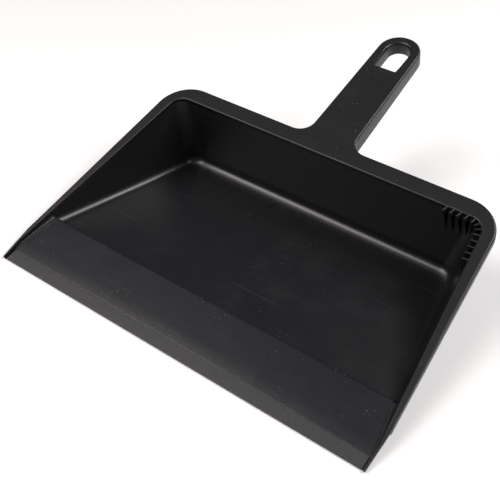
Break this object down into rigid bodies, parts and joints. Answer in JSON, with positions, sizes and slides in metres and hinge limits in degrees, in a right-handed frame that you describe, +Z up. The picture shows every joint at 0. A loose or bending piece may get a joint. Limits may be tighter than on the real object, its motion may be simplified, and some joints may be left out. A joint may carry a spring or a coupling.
{
  "type": "dust pan",
  "caption": "Black moulded dust pan with a deep sloped tray, flat rim, wedge entry ramp with a wear strip, a bristle comb in one corner and a hanging handle.",
  "frame": {"origin": "middle of the bounding box on the surface that the pan stands on", "axes": "+X across the mouth towards the comb's side, +Y from the lip towards the handle, +Z up"},
  "size_m": [0.3022, 0.3142, 0.105],
  "materials": {
    "rim_plastic": "fine-grained satin moulded polypropylene, black, lightly scuffed",
    "tray_plastic": "smoother satin moulded polypropylene, black",
    "ramp_plastic": "satin moulded polypropylene, black, slightly worn",
    "lip_strip": "rough scuffed wear strip, charcoal"
  },
  "bodies": {
    "root": {"rear_wall": "tray_plastic", "left_wall": "tray_plastic", "right_wall": "tray_plastic", "floor_panel": "tray_plastic", "entry_ramp": "ramp_plastic", "front_lip": "lip_strip", "rear_rim": "rim_plastic", "left_rim": "rim_plastic", "right_rim": "rim_plastic", "handle": "rim_plastic"}
  },
  "joints": []
}
